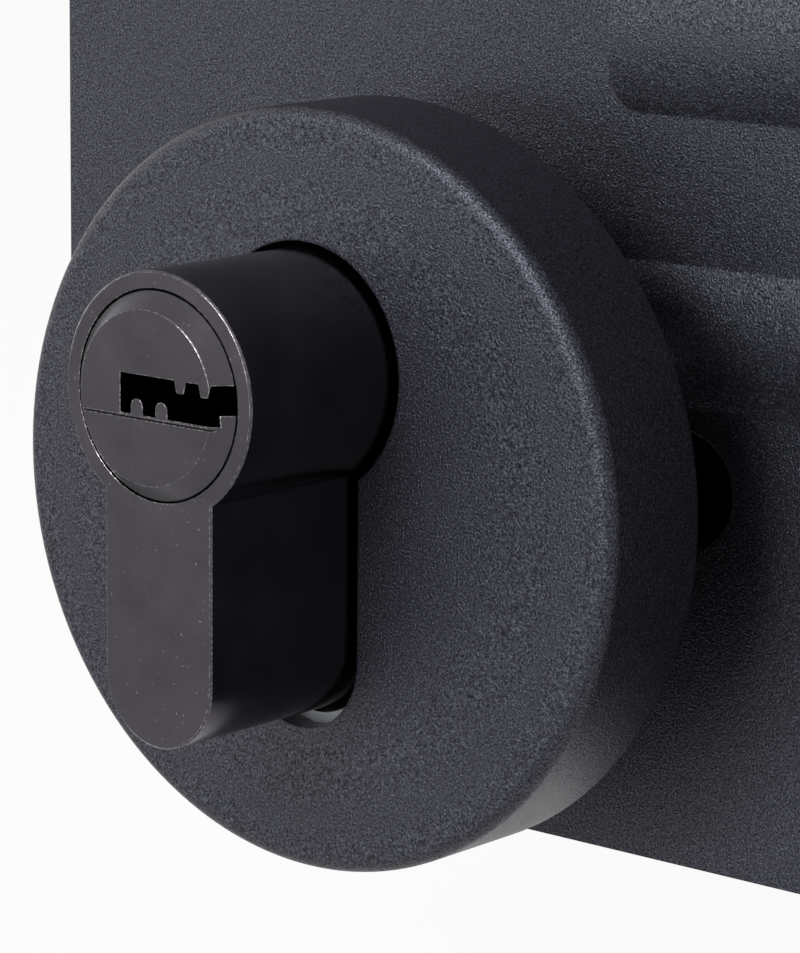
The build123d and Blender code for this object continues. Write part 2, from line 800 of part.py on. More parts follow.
with BuildPart() as inner_rose_base:
    with BuildSketch(depth(door_half + base_thickness)):
        with Locations((0, -rose_drop)):
            Circle(rose_radius - rose_wall)
    extrude(amount=base_thickness)
    with BuildSketch(depth(door_half + lip_height)):
        foot_lip()
    extrude(amount=lip_height)
    with BuildSketch(depth(door_half + lip_height)):
        profile_shape(rose_hole_gap)
        with Locations(*rose_post_places):
            Circle(rose_screw_radius + thread_fit)
    extrude(amount=lip_height, mode=Mode.SUBTRACT)
    for place in rose_post_places:
        with BuildSketch(depth(door_half + base_thickness)):
            with Locations(place):
                Circle(rose_head_radius + thread_fit)
        extrude(
            amount=head_depth(rose_screw_radius, rose_head_radius),
            taper=countersink_angle / 2, mode=Mode.SUBTRACT,
        )
save(inner_rose_base.part, "inner_rose_base")

# Threaded posts with flat heads, pressed through the outer base from the front
with BuildPart() as rose_posts:
    with BuildSketch(depth(rose_back - base_thickness)):
        with Locations(*rose_post_places):
            Circle(rose_post_head)
    extrude(amount=rose_post_head_thickness)
    with BuildSketch(depth(rose_post_reach)):
        with Locations(*rose_post_places):
            Circle(rose_post_radius)
    extrude(amount=rose_post_reach + door_half + base_thickness)
    with BuildSketch(depth(rose_post_reach)):
        with Locations(*rose_post_places):
            Circle(rose_screw_radius + thread_fit)
    extrude(amount=rose_screw_length, mode=Mode.SUBTRACT)
save(rose_posts.part, "rose_posts")

# Bolts that draw the two bases together
rose_bolt = countersunk_screw(rose_screw_radius, rose_head_radius, rose_screw_length, 1.4)
with BuildPart() as rose_bolts:
    with Locations(Plane.XZ.offset(-door_half - base_thickness)):
        with Locations(*rose_post_places):
            add(rose_bolt.rotate(Axis.X, 180))
save(rose_bolts.part, "rose_bolts")

# Bow spring between the top of the case and the carriage
spring_place = bolt_rear - spring_end_gap - spring_half_span
spring_low = carriage_roof + spring_gap + spring_strip / 2
spring_high = case_top - case_wall - spring_strip
with BuildPart() as bow_spring:
    with BuildSketch(depth(carriage_back_face)):
        with BuildLine():
            bow = ThreePointArc(
                (spring_place - spring_half_span, spring_high), (spring_place, spring_low),
                (spring_place + spring_half_span, spring_high),
            )
            offset(amount=spring_strip / 2)
        make_face()
    extrude(amount=carriage_thickness)
save(bow_spring.part, "bow_spring")
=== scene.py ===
"""Dresses the mortise deadbolt: its finishes, wound springs, threaded screws, studio and camera.

Every length is in metres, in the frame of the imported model: X runs to the door's edge,
Y runs into the door from outside, and Z is up.
"""

import math

import bpy
from bpy.props import FloatProperty, FloatVectorProperty, IntProperty, PointerProperty
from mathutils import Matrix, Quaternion, Vector


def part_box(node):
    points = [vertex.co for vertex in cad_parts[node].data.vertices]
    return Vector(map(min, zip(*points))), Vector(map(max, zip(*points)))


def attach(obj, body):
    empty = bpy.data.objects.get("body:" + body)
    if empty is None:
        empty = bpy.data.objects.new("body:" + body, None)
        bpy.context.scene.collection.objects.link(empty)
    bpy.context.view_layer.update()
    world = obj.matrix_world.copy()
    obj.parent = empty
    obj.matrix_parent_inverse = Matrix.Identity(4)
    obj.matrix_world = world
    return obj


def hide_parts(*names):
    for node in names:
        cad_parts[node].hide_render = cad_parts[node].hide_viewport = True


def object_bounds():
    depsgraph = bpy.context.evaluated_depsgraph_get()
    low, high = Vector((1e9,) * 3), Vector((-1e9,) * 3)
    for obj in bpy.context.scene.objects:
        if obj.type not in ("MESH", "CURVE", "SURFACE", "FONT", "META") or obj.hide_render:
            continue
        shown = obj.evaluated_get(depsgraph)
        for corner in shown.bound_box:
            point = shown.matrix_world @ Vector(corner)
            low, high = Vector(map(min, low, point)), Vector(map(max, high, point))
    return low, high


bl_info = {
    "name": "Mortise Deadbolt Look",
    "version": (1, 0, 0),
    "blender": (4, 5, 0),
    "location": "View3D > Sidebar > Deadbolt",
    "description": "Finishes, springs, screws, studio and camera of a mortise deadbolt",
    "category": "Object",
}

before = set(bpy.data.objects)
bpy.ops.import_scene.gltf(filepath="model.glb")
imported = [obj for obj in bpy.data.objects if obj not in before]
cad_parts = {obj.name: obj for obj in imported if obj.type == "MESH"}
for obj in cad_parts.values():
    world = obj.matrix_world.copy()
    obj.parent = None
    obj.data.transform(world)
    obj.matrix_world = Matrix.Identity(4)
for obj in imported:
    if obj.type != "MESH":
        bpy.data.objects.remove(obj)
CAD_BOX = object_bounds()
LOCK_BODY = "lock"

# The CAD nodes that share a finish
POWDER_COATED = ("case_body", "case_cover", "forend", "outer_rose_cover", "inner_rose_cover")
NICKEL_PLATED = ("cylinder_body", "outer_plug", "inner_plug")
ZINC_PLATED = ("case_posts", "bolt_carriage", "rose_posts")
ROSE_BASES = ("outer_rose_base", "inner_rose_base")
MACHINED = (
    "bolt_head", "bolt_hardened_pins", "bolt_rivets", "guide_posts", "gear_axle", "drive_gear", "cog_cam",
    "coupling_bar",
)
BRASS_TURNED = ("outer_key_pins", "inner_key_pins", "driver_pins", "chamber_plugs")
SPRINGS = ("bow_spring", "outer_plug_clip", "inner_plug_clip", "pin_springs")
SCREWS = ("cover_screws", "forend_screws", "cylinder_screw", "rose_bolts")

# The radii of a screw's head, of its shank and of its hexagon recess, which is measured to the corners
SCREW_RADII = {
    "cover_screws": {"Head Radius": 0.0029, "Shank Radius": 0.0015, "Recess Radius": 0.001},
    "forend_screws": {"Head Radius": 0.0039, "Shank Radius": 0.002, "Recess Radius": 0.0014},
    "cylinder_screw": {"Head Radius": 0.0048, "Shank Radius": 0.0025, "Recess Radius": 0.0018},
    "rose_bolts": {"Head Radius": 0.0038, "Shank Radius": 0.002, "Recess Radius": 0.0014},
}

# Turns that stand a piece made along Z upright, head towards the inner side, or head at the forend
UPRIGHT = (0.0, 0.0, 0.0)
FACING_INSIDE = (-math.pi / 2, 0.0, 0.0)
FACING_FOREND = (0.0, math.pi / 2, 0.0)

# The real widths that the finishes' patterns are drawn at
SPRAY_CLOUD = 0.011
PLATE_HAZE = 0.0045
PLATE_NICK = 0.00026
METAL_CLOUD = 0.006

# The radius of a plain metal piece's edges
METAL_EDGE = 0.00015

# The range that a noise texture mostly keeps to
NOISE_LOW = 0.3
NOISE_HIGH = 0.7

# How finely the wound and the threaded pieces are drawn
STEPS_PER_COIL = 18
WIRE_SIDES = 10
THREAD_SIDES = 28
ROWS_PER_PITCH = 10
HEAD_SIDES = 56
WELD_DISTANCE = 0.000001
SMOOTH_ANGLE = math.radians(35)

# In pitches: how deep an ISO thread is cut, and where its flank starts and ends beside a crest's middle
THREAD_DEPTH = 0.61
FLANK_START = 0.07
FLANK_END = 0.43

# The lamps stand round a point near the cylinder's face, all at one distance
AIM = Vector((0.005, -0.028, -0.005))
LAMP_DISTANCE = 0.7


def linear(code):
    """Turns an sRGB hex colour into the linear values that Blender works in, with full alpha."""
    channels = [int(code[i:i + 2], 16) / 255 for i in (1, 3, 5)]
    return tuple(c / 12.92 if c <= 0.04045 else ((c + 0.055) / 1.055) ** 2.4 for c in channels) + (1.0,)


def colour(name, description, code):
    """A colour setting with its default given as an sRGB hex value."""
    return FloatVectorProperty(
        name=name, description=description, subtype="COLOR", size=4, min=0, max=1, default=linear(code),
    )


def length(name, description, default):
    """A length setting in metres."""
    return FloatProperty(
        name=name, description=description, default=default, min=0, unit="LENGTH", precision=5,
    )


def share(name, description, default):
    """A setting that runs from 0 to 1."""
    return FloatProperty(name=name, description=description, default=default, min=0, max=1)


class CoatSettings(bpy.types.PropertyGroup):
    """Powder coat on the case, the forend and the roses."""

    colour: colour("Colour", "Colour of the coat in shade", "#0E0F13")
    # Painted highlight: a paler colour laid on the highest pebbles of the coat, where light would catch them
    fleck: colour("Fleck", "Colour of the paler grains in the coat", "#34363F")
    sheen: colour("Sheen", "Tint of the light that glances off the coat", "#E7E9FF")
    roughness: share("Roughness", "Mean roughness of the coat", 0.37)
    grain: length("Grain", "Width of one pebble of the coat", 0.00016)
    relief: length("Relief", "Height of one pebble of the coat", 0.00008)
    edge: length("Edge", "Radius that the coat leaves on a sharp edge", 0.0003)


class PlateSettings(bpy.types.PropertyGroup):
    """Black nickel plate on the cylinder and its plugs."""

    colour: colour("Colour", "Colour of the plate", "#4C494E")
    worn: colour("Worn", "Colour of the plate where an edge is rubbed", "#CFCBC8")
    roughness: share("Roughness", "Mean roughness of the plate", 0.2)
    edge: length("Edge", "Radius of the plate's rubbed edges", 0.00012)


class SteelSettings(bpy.types.PropertyGroup):
    """The plain metals inside the case and behind the roses."""

    zinc: colour("Zinc", "Colour of the zinc plate", "#C6C8C9")
    dull_zinc: colour("Dull Zinc", "Colour of the dull zinc on the roses' bases", "#85878A")
    steel: colour("Steel", "Colour of the machined steel", "#B4B4B2")
    spring: colour("Spring", "Colour of the spring steel", "#8F9094")
    brass: colour("Brass", "Colour of the turned brass", "#D9A85C")
    oxide: colour("Oxide", "Colour of the black oxide on the screws", "#202022")


class SpringSettings(bpy.types.PropertyGroup):
    """The coil springs under the driver pins."""

    wire: length("Wire", "Diameter of the spring wire", 0.00022)
    turns: FloatProperty(
        name="Turns", description="Number of turns, the closed ends among them", default=11, min=4,
    )
    count: IntProperty(name="Count", description="Number of springs in a row", default=6, min=1)
    pitch: length("Pitch", "Distance between two springs of a row", 0.0044)
    seed: IntProperty(name="Seed", description="Seed for how far each spring is turned", default=3, min=0)


class ScrewSettings(bpy.types.PropertyGroup):
    """The threads and the drives of the screws."""

    cover_pitch: length("Cover Screw Pitch", "Thread pitch of the cover's screws", 0.0005)
    forend_pitch: length("Forend Screw Pitch", "Thread pitch of the forend's screws", 0.0007)
    cylinder_pitch: length("Cylinder Screw Pitch", "Thread pitch of the cylinder's screw", 0.0008)
    rose_pitch: length("Rose Bolt Pitch", "Thread pitch of the roses' bolts", 0.0007)
    recess_depth: length("Recess Depth", "Depth of the hexagon recess", 0.0011)
    seed: IntProperty(name="Seed", description="Seed for how far each screw is turned", default=5, min=0)


class StageSettings(bpy.types.PropertyGroup):
    """Floor, backdrop and lamps."""

    floor_colour: colour("Floor", "Colour of the floor", "#F2F2F0")
    floor_size: length("Floor Size", "Length of the floor's sides", 4.0)
    shadow: share("Shadow", "How much of the lock's shadow shows on the floor", 0.06)
    fill: FloatProperty(name="Fill", description="Strength of the light from all round", default=0.15, min=0)


class CameraSettings(bpy.types.PropertyGroup):
    """The camera at the photograph's viewing angle."""

    place: FloatVectorProperty(
        name="Place", description="Where the camera stands", subtype="TRANSLATION",
        default=(0.1913, -0.2448, 0.0512),
    )
    yaw: FloatProperty(
        name="Yaw", description="Turn to the left from looking into the door", subtype="ANGLE",
        default=math.radians(40.03),
    )
    pitch: FloatProperty(
        name="Pitch", description="Tilt down from level", subtype="ANGLE", default=math.radians(11.50),
    )
    roll: FloatProperty(
        name="Roll", description="Turn about the line of sight", subtype="ANGLE", default=math.radians(0.54),
    )
    focal: FloatProperty(
        name="Focal Length", description="Focal length in millimetres", default=158.9, min=1,
    )


class DeadboltLook(bpy.types.PropertyGroup):
    """All settings of the deadbolt's look."""

    coat: PointerProperty(type=CoatSettings)
    plate: PointerProperty(type=PlateSettings)
    steel: PointerProperty(type=SteelSettings)
    spring: PointerProperty(type=SpringSettings)
    screw: PointerProperty(type=ScrewSettings)
    stage: PointerProperty(type=StageSettings)
    camera: PointerProperty(type=CameraSettings)


def set_inputs(tree, node, inputs):
    """Sets a node's inputs, or links them to a socket, or to a node's first output in use."""
    for key, value in inputs.items():
        if isinstance(value, bpy.types.Node):
            value = next(output for output in value.outputs if output.enabled)
        if isinstance(value, bpy.types.NodeSocket):
            tree.links.new(value, node.inputs[key])
        else:
            node.inputs[key].default_value = value


def add_node(tree, kind, inputs=None, **settings):
    """Adds a node with its settings, and sets or links its inputs."""
    made = tree.nodes.new(kind)
    for name, value in settings.items():
        setattr(made, name, value)
    set_inputs(tree, made, inputs or {})
    return made


def new_material(name):
    """A node material with its plain shader, and its tree."""
    material = bpy.data.materials.new(name)
    material.use_nodes = True
    return material, material.node_tree


def dress(material, nodes):
    """Gives CAD nodes a material in place of their plain one."""
    for name in nodes:
        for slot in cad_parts[name].material_slots:
            slot.material = material


def made_once(make, look):
    """The material of a function's own name, which is made from the settings unless it is there already."""
    return bpy.data.materials.get(make.__name__) or make(look)


def powder_coated_steel(look):
    """Sprayed and baked powder coat: a deep, cool black with a fine, even pebbled grain and a soft sheen."""
    material, tree = new_material("powder_coated_steel")
    place = add_node(tree, "ShaderNodeTexCoord").outputs["Object"]
    pebbles = add_node(tree, "ShaderNodeTexNoise", {
        "Vector": place, "Scale": 1 / look.grain, "Detail": 1.5, "Roughness": 0.7,
    })
    spray = add_node(tree, "ShaderNodeTexNoise", {"Vector": place, "Scale": 1 / SPRAY_CLOUD, "Detail": 3.0})
    # Painted highlight: the highest pebbles take the paler colour, as if they caught the light
    lit_grains = add_node(tree, "ShaderNodeMapRange", {"Value": pebbles, "From Min": 0.58, "From Max": 0.74})
    tint = add_node(tree, "ShaderNodeMix", {
        "Factor": lit_grains, "A": look.colour, "B": look.fleck,
    }, data_type="RGBA")
    # The pits between the pebbles hold less light than their crowns
    sheen = add_node(tree, "ShaderNodeMapRange", {
        "Value": pebbles, "From Min": NOISE_LOW, "From Max": NOISE_HIGH, "To Min": 0.06, "To Max": 0.94,
    })
    # The spray lies a little smoother in some places than in others
    gloss = add_node(tree, "ShaderNodeMapRange", {
        "Value": spray, "From Min": NOISE_LOW, "From Max": NOISE_HIGH,
        "To Min": look.roughness - 0.04, "To Max": look.roughness + 0.04,
    })
    rounded = add_node(tree, "ShaderNodeBevel", {"Radius": look.edge}, samples=4)
    bumps = add_node(tree, "ShaderNodeBump", {
        "Height": pebbles, "Distance": look.relief, "Strength": 1.0, "Normal": rounded,
    })
    set_inputs(tree, tree.nodes["Principled BSDF"], {
        "Base Color": tint, "Roughness": gloss, "Normal": bumps,
        "Specular Tint": look.sheen, "Specular IOR Level": sheen,
    })
    return material


def black_nickel_plate(look):
    """Black nickel over turned brass: smooth, dark and faintly brown, rubbed bright along thin edges."""
    material, tree = new_material("black_nickel_plate")
    place = add_node(tree, "ShaderNodeTexCoord").outputs["Object"]
    haze = add_node(tree, "ShaderNodeTexNoise", {"Vector": place, "Scale": 1 / PLATE_HAZE, "Detail": 5.0})
    nicks = add_node(tree, "ShaderNodeTexNoise", {"Vector": place, "Scale": 1 / PLATE_NICK, "Detail": 2.0})
    # Near an edge the rounded normal leaves the true one, and the rubbing follows that
    rounded = add_node(tree, "ShaderNodeBevel", {"Radius": look.edge}, samples=6)
    facing = add_node(tree, "ShaderNodeNewGeometry").outputs["Normal"]
    flatness = add_node(tree, "ShaderNodeVectorMath", {0: rounded, 1: facing}, operation="DOT_PRODUCT")
    rubbed = add_node(tree, "ShaderNodeMapRange", {"Value": flatness, "From Min": 0.98, "From Max": 0.86})
    # The rubbing breaks up along an edge, and a few small nicks lie away from the edges
    broken = add_node(tree, "ShaderNodeMapRange", {
        "Value": nicks, "From Min": 0.46, "From Max": 0.64, "To Min": 0.05, "To Max": 0.9,
    })
    rubs = add_node(tree, "ShaderNodeMath", {0: rubbed, 1: broken}, operation="MULTIPLY")
    specks = add_node(tree, "ShaderNodeMapRange", {
        "Value": nicks, "From Min": 0.7, "From Max": 0.78, "To Max": 0.3,
    })
    wear = add_node(tree, "ShaderNodeMath", {0: rubs, 1: specks}, operation="MAXIMUM")
    # Handling leaves the plate a little uneven in tone
    tone = add_node(tree, "ShaderNodeMapRange", {
        "Value": haze, "From Min": NOISE_LOW, "From Max": NOISE_HIGH, "To Min": 0.86, "To Max": 1.14,
    })
    plate = add_node(tree, "ShaderNodeVectorMath", {0: look.colour[:3], "Scale": tone}, operation="SCALE")
    tint = add_node(tree, "ShaderNodeMix", {"Factor": wear, "A": plate, "B": look.worn}, data_type="RGBA")
    gloss = add_node(tree, "ShaderNodeMapRange", {
        "Value": haze, "From Min": NOISE_LOW, "From Max": NOISE_HIGH,
        "To Min": look.roughness - 0.03, "To Max": look.roughness + 0.04,
    })
    set_inputs(tree, tree.nodes["Principled BSDF"], {
        "Base Color": tint, "Roughness": gloss, "Metallic": 1.0, "Normal": rounded,
    })
    return material


def worked_metal(name, tint, roughness, mark, relief):
    """A bare or thinly plated metal that clouds a little, with tool marks of a size along X, Y and Z."""
    material, tree = new_material(name)
    place = add_node(tree, "ShaderNodeTexCoord").outputs["Object"]
    stretched = add_node(tree, "ShaderNodeMapping", {"Vector": place, "Scale": [1 / size for size in mark]})
    marks = add_node(tree, "ShaderNodeTexNoise", {"Vector": stretched, "Scale": 1.0, "Detail": 3.0})
    cloud = add_node(tree, "ShaderNodeTexNoise", {"Vector": place, "Scale": 1 / METAL_CLOUD, "Detail": 4.0})
    shade = add_node(tree, "ShaderNodeMapRange", {
        "Value": cloud, "From Min": 0.25, "From Max": 0.75, "To Min": 0.78, "To Max": 1.0,
    })
    shaded = add_node(tree, "ShaderNodeVectorMath", {0: tint[:3], "Scale": shade}, operation="SCALE")
    gloss = add_node(tree, "ShaderNodeMapRange", {
        "Value": marks, "From Min": NOISE_LOW, "From Max": NOISE_HIGH,
        "To Min": roughness - 0.07, "To Max": roughness + 0.07,
    })
    rounded = add_node(tree, "ShaderNodeBevel", {"Radius": METAL_EDGE}, samples=4)
    grooves = add_node(tree, "ShaderNodeBump", {
        "Height": marks, "Distance": relief, "Strength": 1.0, "Normal": rounded,
    })
    set_inputs(tree, tree.nodes["Principled BSDF"], {
        "Base Color": shaded, "Roughness": gloss, "Metallic": 1.0, "Normal": grooves,
    })
    return material


def zinc_plated_steel(look):
    """Bright zinc on pressed steel: a pale, slightly blue metal with a soft cloudy spangle."""
    return worked_metal(
        "zinc_plated_steel", look.zinc, roughness=0.3, mark=(0.0014, 0.0014, 0.0014), relief=0.000006,
    )


def dull_zinc_plate(look):
    """Zinc left dull on the plates behind the roses: a mid grey metal with a soft cloudy spangle."""
    return worked_metal(
        "dull_zinc_plate", look.dull_zinc, roughness=0.4, mark=(0.0014, 0.0014, 0.0014), relief=0.000006,
    )


def machined_steel(look):
    """Milled and ground steel: grey, with fine lines along the cutter's way."""
    # A grinder's lines lie a few hundredths of a millimetre apart, and are drawn at 0.2 mm to show
    return worked_metal(
        "machined_steel", look.steel, roughness=0.3, mark=(0.0033, 0.0033, 0.0002), relief=0.000008,
    )


def turned_brass(look):
    """Brass turned from bar: warm yellow, with fine rings across the pin."""
    # A lathe's rings lie a few hundredths of a millimetre apart, and are drawn at 0.1 mm to show
    return worked_metal(
        "turned_brass", look.brass, roughness=0.26, mark=(0.0033, 0.0033, 0.0001), relief=0.000004,
    )


def spring_steel(look):
    """Drawn and tempered spring steel: a darker grey metal with fine lines along the strip."""
    # The lines that a die leaves are finer than can be seen, and are drawn at 0.16 mm to show
    return worked_metal(
        "spring_steel", look.spring, roughness=0.32, mark=(0.0025, 0.00016, 0.0025), relief=0.000004,
    )


def black_oxide_steel(look):
    """Screws blackened by hot oxide: a thin, oily black with a satin gloss."""
    # The oxide's crystals are far too fine to show, so its mottle is drawn at 0.4 mm
    return worked_metal(
        "black_oxide_steel", look.oxide, roughness=0.38, mark=(0.0004, 0.0004, 0.0004), relief=0.000006,
    )


def new_tree(name, inputs):
    """An empty geometry tree with a Places input and the inputs named, and the sockets of all of them."""
    tree = bpy.data.node_groups.new(name, "GeometryNodeTree")
    tree.interface.new_socket("Places", in_out="INPUT", socket_type="NodeSocketGeometry")
    for title, kind in inputs.items():
        tree.interface.new_socket(title, in_out="INPUT", socket_type=f"NodeSocket{kind}")
    tree.interface.new_socket("Geometry", in_out="OUTPUT", socket_type="NodeSocketGeometry")
    return tree, add_node(tree, "NodeGroupInput").outputs


def on_circle(tree, turns, radius, height):
    """The place at a number of turns round a circle of a radius, at a height."""
    angle = add_node(tree, "ShaderNodeMath", {0: turns, 1: math.tau}, operation="MULTIPLY")
    cosine = add_node(tree, "ShaderNodeMath", {0: angle}, operation="COSINE")
    sine = add_node(tree, "ShaderNodeMath", {0: angle}, operation="SINE")
    across = add_node(tree, "ShaderNodeMath", {0: cosine, 1: radius}, operation="MULTIPLY")
    along = add_node(tree, "ShaderNodeMath", {0: sine, 1: radius}, operation="MULTIPLY")
    return add_node(tree, "ShaderNodeCombineXYZ", {"X": across, "Y": along, "Z": height})


def place_copies(tree, given, piece, facing):
    """Puts a copy of the piece on every place, each turned by its own amount, and ends the tree."""
    copies = add_node(tree, "GeometryNodeInstanceOnPoints", {
        "Points": given["Places"], "Instance": piece, "Rotation": facing,
    })
    turn = add_node(tree, "FunctionNodeRandomValue", {
        "Max": math.tau, "Seed": given["Seed"],
    }, data_type="FLOAT")
    spin = add_node(tree, "ShaderNodeCombineXYZ", {"Z": turn})
    turned = add_node(tree, "GeometryNodeRotateInstances", {"Instances": copies, "Rotation": spin})
    plain = add_node(tree, "GeometryNodeRealizeInstances", {"Geometry": turned})
    dressed = add_node(tree, "GeometryNodeSetMaterial", {"Geometry": plain, "Material": given["Material"]})
    add_node(tree, "NodeGroupOutput", {"Geometry": dressed})


def rising_coil(tree, given, half_wire):
    """The line that a spring's wire follows: its first and last turns lie closed, the others stand open."""
    steps = add_node(tree, "ShaderNodeMath", {0: given["Turns"], 1: STEPS_PER_COIL}, operation="MULTIPLY")
    line = add_node(tree, "GeometryNodeCurvePrimitiveLine")
    stepped = add_node(tree, "GeometryNodeResampleCurve", {"Curve": line, "Count": steps})
    factor = add_node(tree, "GeometryNodeSplineParameter")
    turn = add_node(tree, "ShaderNodeMath", {0: factor, 1: given["Turns"]}, operation="MULTIPLY")
    last_turn = add_node(tree, "ShaderNodeMath", {0: given["Turns"], 1: 1.0}, operation="SUBTRACT")
    # A closed end takes up a wire and a half: the turn climbs by one, and half a wire lies beyond it
    closed_end = add_node(tree, "ShaderNodeMath", {0: given["Wire"], 1: 1.5}, operation="MULTIPLY")
    both_ends = add_node(tree, "ShaderNodeMath", {0: given["Wire"], 1: 3.0}, operation="MULTIPLY")
    open_rise = add_node(tree, "ShaderNodeMath", {0: given["Height"], 1: both_ends}, operation="SUBTRACT")
    foot = add_node(tree, "ShaderNodeMapRange", {"Value": turn, "To Min": half_wire, "To Max": closed_end})
    middle = add_node(tree, "ShaderNodeMapRange", {
        "Value": turn, "From Min": 1.0, "From Max": last_turn, "To Max": open_rise,
    })
    head = add_node(tree, "ShaderNodeMapRange", {
        "Value": turn, "From Min": last_turn, "From Max": given["Turns"], "To Max": given["Wire"],
    })
    below_head = add_node(tree, "ShaderNodeMath", {0: foot, 1: middle}, operation="ADD")
    height = add_node(tree, "ShaderNodeMath", {0: below_head, 1: head}, operation="ADD")
    radius = add_node(tree, "ShaderNodeMath", {0: given["Radius"], 1: half_wire}, operation="SUBTRACT")
    wound = on_circle(tree, turn, radius, height)
    return add_node(tree, "GeometryNodeSetPosition", {"Geometry": stepped, "Position": wound})


def spring_tree():
    """A wound compression spring with closed ends: a round wire swept along a rising coil."""
    tree, given = new_tree("wound_springs", {
        "Wire": "Float", "Radius": "Float", "Height": "Float", "Turns": "Float", "Seed": "Int",
        "Material": "Material",
    })
    half_wire = add_node(tree, "ShaderNodeMath", {0: given["Wire"], 1: 0.5}, operation="MULTIPLY")
    section = add_node(tree, "GeometryNodeCurvePrimitiveCircle", {
        "Resolution": WIRE_SIDES, "Radius": half_wire,
    })
    swept = add_node(tree, "GeometryNodeCurveToMesh", {
        "Curve": rising_coil(tree, given, half_wire), "Profile Curve": section, "Fill Caps": True,
    })
    place_copies(tree, given, swept, UPRIGHT)
    return tree


def coned_head(tree, given, cone_height):
    """A countersunk head: a cone with its wide end up, at the origin."""
    cone = add_node(tree, "GeometryNodeMeshCone", {
        "Vertices": HEAD_SIDES, "Radius Top": given["Head Radius"], "Radius Bottom": given["Shank Radius"],
        "Depth": cone_height,
    })
    foot = add_node(tree, "ShaderNodeMath", {0: cone_height, 1: -1.0}, operation="MULTIPLY")
    drop = add_node(tree, "ShaderNodeCombineXYZ", {"Z": foot})
    return add_node(tree, "GeometryNodeTransform", {"Geometry": cone, "Translation": drop})


def thread_cut(tree, pitch, turns_round, height, tip):
    """How deep the thread is cut into the shank, at a share of a turn round it and at a height."""
    climbed = add_node(tree, "ShaderNodeMath", {0: height, 1: pitch}, operation="DIVIDE")
    wound = add_node(tree, "ShaderNodeMath", {0: climbed, 1: turns_round}, operation="SUBTRACT")
    phase = add_node(tree, "ShaderNodeMath", {0: wound}, operation="FRACT")
    past_crest = add_node(tree, "ShaderNodeMath", {0: phase, 1: 0.5}, operation="SUBTRACT")
    from_crest = add_node(tree, "ShaderNodeMath", {0: past_crest}, operation="ABSOLUTE")
    full = add_node(tree, "ShaderNodeMath", {0: pitch, 1: THREAD_DEPTH}, operation="MULTIPLY")
    groove = add_node(tree, "ShaderNodeMapRange", {
        "Value": from_crest, "From Min": FLANK_START, "From Max": FLANK_END, "To Max": full,
    })
    # The first pitch at the tip is turned down to the thread's root
    lead = add_node(tree, "ShaderNodeMath", {0: tip, 1: pitch}, operation="ADD")
    taper = add_node(tree, "ShaderNodeMapRange", {
        "Value": height, "From Min": tip, "From Max": lead, "To Min": full, "To Max": 0.0,
    })
    return add_node(tree, "ShaderNodeMath", {0: groove, 1: taper}, operation="MAXIMUM")


def threaded_shank(tree, given, cone_height):
    """A threaded shank: a sheet rolled up to a tube, pressed in by the thread and closed at both ends."""
    pitch = given["Pitch"]
    # The shank starts a little inside the head, so that the two join
    top = add_node(tree, "ShaderNodeMath", {0: cone_height, 1: -0.9}, operation="MULTIPLY")
    tip = add_node(tree, "ShaderNodeMath", {0: given["Length"], 1: -1.0}, operation="MULTIPLY")
    threaded = add_node(tree, "ShaderNodeMath", {0: given["Length"], 1: cone_height}, operation="SUBTRACT")
    turns = add_node(tree, "ShaderNodeMath", {0: threaded, 1: pitch}, operation="DIVIDE")
    part_rows = add_node(tree, "ShaderNodeMath", {0: turns, 1: ROWS_PER_PITCH}, operation="MULTIPLY")
    rows = add_node(tree, "ShaderNodeMath", {0: part_rows}, operation="ROUND")
    sheet = add_node(tree, "GeometryNodeMeshGrid", {
        "Size X": 1.0, "Size Y": 1.0, "Vertices X": THREAD_SIDES + 1, "Vertices Y": rows,
    })
    spread = add_node(tree, "ShaderNodeSeparateXYZ", {0: sheet.outputs["UV Map"]}).outputs
    last_row = add_node(tree, "ShaderNodeMath", {0: rows, 1: 1.0}, operation="SUBTRACT")
    row = add_node(tree, "ShaderNodeMath", {0: spread["Y"], 1: last_row}, operation="MULTIPLY")
    last_ring = add_node(tree, "ShaderNodeMath", {0: last_row, 1: 1.0}, operation="SUBTRACT")
    height = add_node(tree, "ShaderNodeMapRange", {
        "Value": row, "From Min": 1.0, "From Max": last_ring, "To Min": tip, "To Max": top,
    })
    # The first and the last row shrink to a point each, which closes the tube
    from_last = add_node(tree, "ShaderNodeMath", {0: last_row, 1: row}, operation="SUBTRACT")
    from_end = add_node(tree, "ShaderNodeMath", {0: row, 1: from_last}, operation="MINIMUM")
    opened = add_node(tree, "ShaderNodeMapRange", {"Value": from_end, "From Max": 1.0, "To Max": 1.0})
    cut = thread_cut(tree, pitch, spread["X"], height, tip)
    left = add_node(tree, "ShaderNodeMath", {0: given["Shank Radius"], 1: cut}, operation="SUBTRACT")
    radius = add_node(tree, "ShaderNodeMath", {0: left, 1: opened}, operation="MULTIPLY")
    rolled = on_circle(tree, spread["X"], radius, height)
    tube = add_node(tree, "GeometryNodeSetPosition", {"Geometry": sheet, "Position": rolled})
    return add_node(tree, "GeometryNodeMergeByDistance", {"Geometry": tube, "Distance": WELD_DISTANCE})


